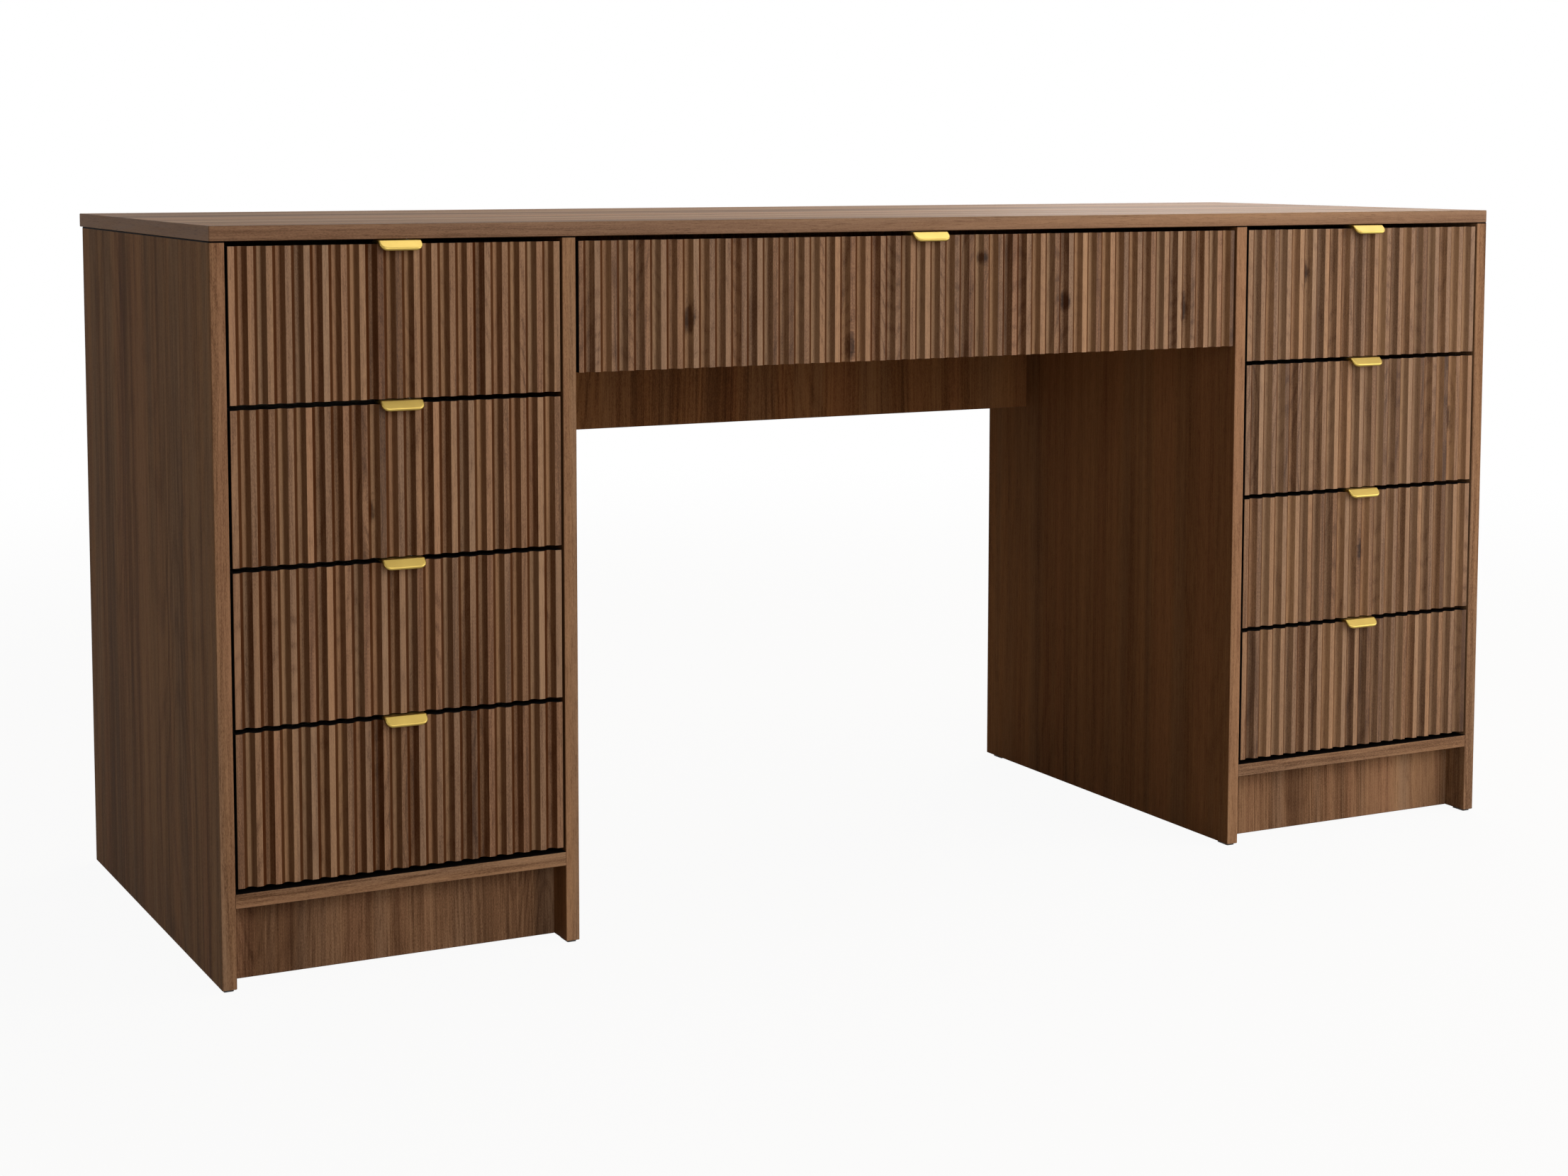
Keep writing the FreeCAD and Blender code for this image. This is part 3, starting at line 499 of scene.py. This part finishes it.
def flank_shade(graph, toward_x, middle):
    """How much painted shade the flanks of the flutes get: the left ones evenly, the right ones less
    and less toward the desk's right end."""
    left = graph.remap(toward_x, *LEFT_FLANK_TURN, 0.0, LEFT_FLANK_SHADE, True)
    right_shade = along_desk(RIGHT_FLANK_SHADE, middle)
    right = graph.remap(toward_x, *RIGHT_FLANK_TURN, 0.0, right_shade, True)
    return graph.math("MAXIMUM", left, right)


def on_rim(graph, x, toward_x, toward_z, low, high):
    """1 on a front's top, bottom and side edges, and 0 on its face."""
    from_middle = graph.math("ABSOLUTE", graph.math("SUBTRACT", x, (low.x + high.x) / 2))
    beside = graph.math("GREATER_THAN", from_middle, (high.x - low.x) / 2 - RIM_DEPTH)
    sideways = graph.math("MULTIPLY", graph.math("ABSOLUTE", toward_x), beside)
    outward = graph.math("MAXIMUM", graph.math("ABSOLUTE", toward_z), sideways)
    return graph.math("GREATER_THAN", outward, RIM_SHARE)


def fluted_walnut(name, front, seed):
    """Walnut on a fluted front: each crest and each flute has a tone of its own, its ends are black."""
    graph = Graph(name)
    low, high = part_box(front)
    middle = (low.x + high.x) / 2
    x, y, z = graph.split(graph.place())
    toward_x, _, toward_z = graph.split(graph.facing())

    in_flute, number = count_slats(graph, x, middle)
    slat_tone = graph.dice(graph.math("ADD", number, seed * TONE_SEED))
    slat_warmth = graph.dice(graph.math("ADD", number, seed * WARMTH_SEED + WARMTH_START))
    shifted = graph.math("ADD", x, graph.math("MULTIPLY", slat_tone, SLAT_SHIFT))
    hearts = []
    for knot in KNOTS:
        if low.x < knot[0] < high.x and low.z < knot[1] < high.z:
            heart, push = knot_shares(graph, x, z, knot)
            hearts.append(heart)
            shifted = graph.math("SUBTRACT", shifted, push)

    share, pores, warmth, fine = grain(graph, shifted, y, z, seed, FRONT_FIGURE)
    cloud = graph.noise(graph.join(x, 0.0, z), CLOUD_RATE, 2.0, 0.5, (seed, 0.0, 0.0))
    lift = graph.math("ADD", graph.swing(slat_tone, SLAT_TONES), graph.swing(cloud, CLOUD_TONES))
    # Painted light: the flutes lighter than the crests, changing along the desk.
    painted_step_light = graph.choose(in_flute, along_desk(CREST_PAINTED_LIGHT, middle), along_desk(FLUTE_PAINTED_LIGHT, middle))
    share = graph.math("ADD", share, graph.math("ADD", lift, painted_step_light))
    board_part = graph.math("MULTIPLY", warmth, BOARD_WARMTH)
    warmth = graph.math("ADD", board_part, graph.math("MULTIPLY", slat_warmth, SLAT_WARMTH))
    # Greyer toward the right as a painted sheen.
    warmth = graph.math("ADD", warmth, along_desk(FRONT_TINT_AND_SHEEN, middle))

    colour = walnut_colour(graph, share, pores, warmth)
    for heart in hearts:
        colour = graph.mix(heart, colour, graph.tinted(colour, KNOT_TINT))
    colour = graph.mix(in_flute, colour, graph.tinted(colour, FLOOR_TINT))
    # Painted shade on the flutes' flanks.
    shade = flank_shade(graph, toward_x, middle)
    colour = graph.mix(shade, colour, FLANK_SHADE_COLOUR)
    colour = graph.mix(on_rim(graph, x, toward_x, toward_z, low, high), colour, EDGE_BLACK)
    sheen = graph.remap(shade, *SHEEN_SHADES, *SHEEN_LEVELS)
    return finish_walnut(graph, colour, fine, pores, sheen)


# Other materials

BRASS_DEEP = screen_colour(159, 134, 68)
BRASS_LIGHT = screen_colour(176, 151, 80)
ZINC_DARK = screen_colour(186, 188, 190)
ZINC_LIGHT = screen_colour(214, 215, 216)
PLASTIC_DARK = screen_colour(13, 13, 14)
PLASTIC_LIGHT = screen_colour(28, 28, 29)
MELAMINE_DARK = screen_colour(198, 193, 184)
MELAMINE_LIGHT = screen_colour(209, 204, 196)
FIBRE_BROWN = screen_colour(88, 62, 44)
BEECH_DARK = screen_colour(176, 138, 98)
BEECH_LIGHT = screen_colour(212, 176, 134)


def satin_brass():
    """Brass brushed along its length."""
    graph = Graph("satin_brass")
    place = graph.place()
    brushing = graph.noise(place, (90.0, 2600.0, 2600.0))
    cloud = graph.noise(place, (60.0, 60.0, 60.0))
    graph.set(Base_Color=graph.mix(cloud, BRASS_DEEP, BRASS_LIGHT), Metallic=1.0)
    graph.set(Roughness=graph.spread(brushing, 0.31, 0.38))
    graph.bump(brushing, 0.01 * MM, strength=0.35)
    return graph.material


def zinc_steel():
    """Rolled sheet with the cloudy spangle of its zinc."""
    graph = Graph("zinc_steel")
    place = graph.place()
    spangle = graph.noise(place, (240.0, 240.0, 240.0), 3.0)
    rolling = graph.noise(place, (2200.0, 12.0, 2200.0))
    graph.set(Base_Color=graph.mix(spangle, ZINC_DARK, ZINC_LIGHT), Metallic=1.0)
    graph.set(Roughness=graph.spread(spangle, 0.28, 0.46))
    graph.bump(rolling, 0.01 * MM, strength=0.3)
    return graph.material


def black_plastic():
    """Matt moulded plastic, for the glides."""
    graph = Graph("glide_plastic")
    texture = graph.noise(graph.place(), (2400.0, 2400.0, 2400.0))
    graph.set(Base_Color=graph.mix(texture, PLASTIC_DARK, PLASTIC_LIGHT))
    graph.set(Roughness=graph.spread(texture, 0.5, 0.7))
    graph.bump(texture, 0.03 * MM, strength=0.6)
    return graph.material


def grey_melamine():
    """Pale board with a faint linen print, for the drawer boxes."""
    graph = Graph("drawer_board")
    place = graph.place()
    warp_threads = graph.noise(place, (1600.0, 160.0, 160.0), 1.0)
    weft_threads = graph.noise(place, (160.0, 1600.0, 1600.0), 1.0)
    half_warp = graph.math("MULTIPLY", warp_threads, 0.5)
    threads = graph.math("ADD", half_warp, graph.math("MULTIPLY", weft_threads, 0.5))
    graph.set(Base_Color=graph.shades(threads, MELAMINE_DARK, MELAMINE_LIGHT))
    graph.set(Roughness=0.55, Specular_IOR_Level=0.35)
    graph.bump(threads, 0.03 * MM, strength=0.5)
    return graph.material


def hardboard():
    """Thin hardboard with a printed walnut face."""
    graph = Graph("hardboard")
    place = graph.place()
    x, y, z = graph.split(place)
    share, pores, warmth, _ = grain(graph, x, y, z, seed=5.0)
    printed = walnut_colour(graph, share, pores, warmth)
    mottled = graph.noise(place, (900.0, 900.0, 900.0))
    graph.set(Base_Color=graph.mix(graph.spread(mottled, 0.1, 0.4), printed, FIBRE_BROWN))
    graph.set(Roughness=0.7, Specular_IOR_Level=0.2)
    graph.bump(mottled, 0.04 * MM, strength=0.5)
    return graph.material


def beech():
    """Short-flecked beech, for the dowels."""
    graph = Graph("beech")
    flecks = graph.noise(graph.place(), (700.0, 700.0, 180.0), 3.0)
    graph.set(Base_Color=graph.shades(flecks, BEECH_DARK, BEECH_LIGHT), Roughness=0.65)
    graph.bump(flecks, 0.05 * MM, strength=0.5)
    return graph.material


# The desk's materials

OUTER_TONE = screen_colour(255, 252, 241)
# Painted shade of the kneehole: the side faces of its inner panels and the broad faces of the modesty
# panel are darker and redder.
KNEEHOLE_SHADE_TONE = screen_colour(208, 191, 169)
MODESTY_SHADE_TONE = screen_colour(228, 208, 180)
DESKTOP_EDGE_TONE = screen_colour(250, 250, 255)
DESKTOP_TOP_TONE = screen_colour(243, 248, 248)
DESKTOP_TONES = {"y": DESKTOP_EDGE_TONE, "x": DESKTOP_EDGE_TONE, "z": DESKTOP_TOP_TONE}

# Painted shade: the black line where an upright panel meets the desktop, as a joint's shadow line,
# and the dark floor of the gap behind a front, as the gap's shadow. Past FAR there is no board left.
FAR = 1.0
JOINT_LINE = 1.4 * MM
GAP_DEPTH = 22 * MM
JOINT_SHADOW_BAND = ("z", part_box("desktop")[0].z - JOINT_LINE, FAR)
GAP_SHADOW_BAND = ("y", -FAR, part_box("left_inner_panel")[0].y + GAP_DEPTH)

# The fronts take this seed and the whole ones after it, in the order of the record.
FIRST_FRONT_SEED = 4.0


def dress(node, material):
    """Give a node one material all over."""
    slots = nodes[node].data.materials
    slots.clear()
    slots.append(material)


def slot_materials():
    """The material of each slot of the record, apart from that of the fluted fronts."""
    return {
        "satin_brass": satin_brass(),
        "zinc_steel": zinc_steel(),
        "glide_plastic": black_plastic(),
        "drawer_board": grey_melamine(),
        "hardboard": hardboard(),
        "beech": beech(),
        "walnut_board": board_walnut(
            "walnut_upright", "Z", seed=1.0, sheen=0.006, lift=0.03, contrast=1.1,
            tones={"x": OUTER_TONE}, dark_band=JOINT_SHADOW_BAND),
    }


def node_materials():
    """The material of each node that has one of its own."""
    inner = board_walnut(
        "walnut_inner", "Z", seed=4.0, sheen=0.006, lift=0.24,
        tones={"x": KNEEHOLE_SHADE_TONE}, dark_band=JOINT_SHADOW_BAND)
    shelf = board_walnut(
        "walnut_shelf", "X", seed=9.0, sheen=0.02, lift=-0.03, contrast=1.2, dark_band=GAP_SHADOW_BAND)
    return {
        "left_inner_panel": inner,
        "right_inner_panel": inner,
        "left_bottom_board": shelf,
        "right_bottom_board": shelf,
        "modesty_panel": board_walnut(
            "walnut_modesty", "Z", seed=5.0, sheen=0.006, tones={"y": MODESTY_SHADE_TONE}),
        # The plinths are darker as painted shade of their recess, the left one more than the right.
        "left_plinth": board_walnut(
            "walnut_left_plinth", "Z", seed=7.0, sheen=0.01, lift=-0.18, figure=WILD_FIGURE),
        "right_plinth": board_walnut(
            "walnut_right_plinth", "Z", seed=7.0, sheen=0.01, lift=-0.02, figure=WILD_FIGURE),
        "desktop": board_walnut(
            "walnut_desktop", "X", seed=2.0, sheen=0.03, lift=0.1, contrast=1.4, edge_contrast=0.7,
            figure=DESKTOP_FIGURE, tones=DESKTOP_TONES),
    }


def dress_desk():
    """Give each node its own material if it has one, and that of its slot if it hasn't."""
    of_slot = slot_materials()
    of_node = node_materials()
    seed = FIRST_FRONT_SEED
    for part in frame["record"]["subparts"]:
        node, slot = part["node"], part["material_slot"]
        if slot == "walnut_front":
            dress(node, fluted_walnut("walnut_" + node, node, seed))
            seed += 1.0
        else:
            dress(node, of_node.get(node, of_slot[slot]))


# Floor and background

# Half the floor's width.
FLOOR_HALF = 30.0
FLOOR_COLOUR = (0.52, 0.45, 0.37, 1.0)
WHITE = (1.0, 1.0, 1.0, 1.0)

# Up to the first distance from the desk's middle the floor's look is by the first share a white
# glow, and from the second distance on by the second share.
GLOW_DISTANCES = (1.2, 4.0)
GLOW_SHARES = (0.94, 1.0)

# The strength of the even light from all around, where the white that is seen has 1.
AMBIENT = 0.05


def background_rays(tree):
    """1 for rays that should see a white background, and 0 for those that carry light."""
    path = tree.nodes.new("ShaderNodeLightPath")
    seen = path.outputs["Is Camera Ray"]
    for name in ("Is Glossy Ray", "Is Transmission Ray"):
        larger = tree.nodes.new("ShaderNodeMath")
        larger.operation = "MAXIMUM"
        tree.links.new(seen, larger.inputs[0])
        tree.links.new(path.outputs[name], larger.inputs[1])
        seen = larger.outputs[0]
    return seen


def floor_material():
    """A pale floor that glows a little to the camera, so that it meets the white background."""
    graph = Graph("floor")
    graph.set(Base_Color=FLOOR_COLOUR, Roughness=1.0, Specular_IOR_Level=0.0)
    glow = graph.node("ShaderNodeEmission")
    graph.feed(glow.inputs["Color"], WHITE)
    graph.feed(glow.inputs["Strength"], 1.0)
    x, y, _ = graph.split(graph.place())
    glow_share = graph.remap(graph.length(x, y), *GLOW_DISTANCES, *GLOW_SHARES, True)
    blend = graph.node("ShaderNodeMixShader")
    graph.feed(blend.inputs[0], graph.math("MULTIPLY", background_rays(graph.tree), glow_share))
    graph.feed(blend.inputs[1], graph.shader.outputs[0])
    graph.feed(blend.inputs[2], glow.outputs[0])
    output = next(node for node in graph.tree.nodes if node.type == "OUTPUT_MATERIAL")
    graph.feed(output.inputs["Surface"], blend.outputs[0])
    return graph.material


def make_floor():
    """A wide square under the desk."""
    mesh = bpy.data.meshes.new("floor")
    signs = ((-1, -1), (1, -1), (1, 1), (-1, 1))
    corners = [(FLOOR_HALF * across, FLOOR_HALF * back, 0) for across, back in signs]
    mesh.from_pydata(corners, [], [(0, 1, 2, 3)])
    floor = bpy.data.objects.new("floor", mesh)
    bpy.context.scene.collection.objects.link(floor)
    floor.data.materials.append(floor_material())


def make_world():
    """A world that is white to look at, and gives only a little even light."""
    world = bpy.data.worlds.new("studio")
    bpy.context.scene.world = world
    world.use_nodes = True
    tree = world.node_tree
    background = tree.nodes["Background"]
    background.inputs["Color"].default_value = WHITE
    strength = tree.nodes.new("ShaderNodeMapRange")
    strength.inputs["To Min"].default_value = AMBIENT
    strength.inputs["To Max"].default_value = 1.0
    tree.links.new(background_rays(tree), strength.inputs["Value"])
    tree.links.new(strength.outputs[0], background.inputs["Strength"])


# Lamps

# Each lamp's place, its width and height in metres, and its power in watts. All of them look
# toward the desk's middle.
LAMP_TARGET = (0.0, 0.0, 0.4)
LAMPS = {
    "front": ((-0.5, -3.7, 1.6), 2.8, 2.2, 68.0),
    "right": ((2.0, -1.6, 1.0), 2.2, 1.8, 38.0),
    "right_front": ((2.2, -3.2, 1.6), 1.8, 1.8, 14.0),
    "left_fill": ((-2.8, 0.0, 1.2), 1.5, 1.5, 5.2),
    "overhead": ((1.0, 0.3, 2.6), 2.6, 2.4, 46.0),
    "back_rim": ((2.6, 2.4, 1.6), 1.5, 1.5, 14.0),
    "back_high": ((1.8, 1.6, 2.4), 1.5, 1.2, 18.0),
}


def soft_lamp(name, place, width, height, power):
    """A rectangular lamp, out of the camera's sight."""
    data = bpy.data.lights.new(name, "AREA")
    data.shape = "RECTANGLE"
    data.size = width
    data.size_y = height
    data.energy = power
    lamp = bpy.data.objects.new(name, data)
    bpy.context.scene.collection.objects.link(lamp)
    lamp.location = place
    lamp.visible_camera = False
    lamp.rotation_euler = (Vector(LAMP_TARGET) - Vector(place)).to_track_quat("-Z", "Y").to_euler()


# Camera

# Angles are in degrees, the lens and the sensor in millimetres. The photo was taken level with a
# shifted picture. This camera looks down a little and shifts less, so that views from other sides
# hold the whole desk.
CAMERA_PLACE = (-1.4707, -2.7817, 0.8287)
CAMERA_YAW = 27.26
CAMERA_PITCH = 5.06
CAMERA_ROLL = -0.054
CAMERA_LENS = 60.57
CAMERA_SENSOR = 36.0
CAMERA_SHIFT = -0.13


def make_camera():
    data = bpy.data.cameras.new("camera")
    data.sensor_width = CAMERA_SENSOR
    data.lens = CAMERA_LENS
    data.shift_y = CAMERA_SHIFT
    data.dof.use_dof = False
    camera = bpy.data.objects.new("camera", data)
    bpy.context.scene.collection.objects.link(camera)
    turn = Matrix.Rotation(math.radians(-CAMERA_YAW), 4, "Z")
    tilt = Matrix.Rotation(math.radians(90 - CAMERA_PITCH), 4, "X")
    roll = Matrix.Rotation(math.radians(-CAMERA_ROLL), 4, "Z")
    camera.matrix_world = Matrix.Translation(CAMERA_PLACE) @ turn @ tilt @ roll
    bpy.context.scene.camera = camera


dress_desk()
for name, (place, width, height, power) in LAMPS.items():
    soft_lamp(name, place, width, height, power)
make_floor()
make_world()
make_camera()
bpy.context.scene.view_settings.view_transform = "Standard"
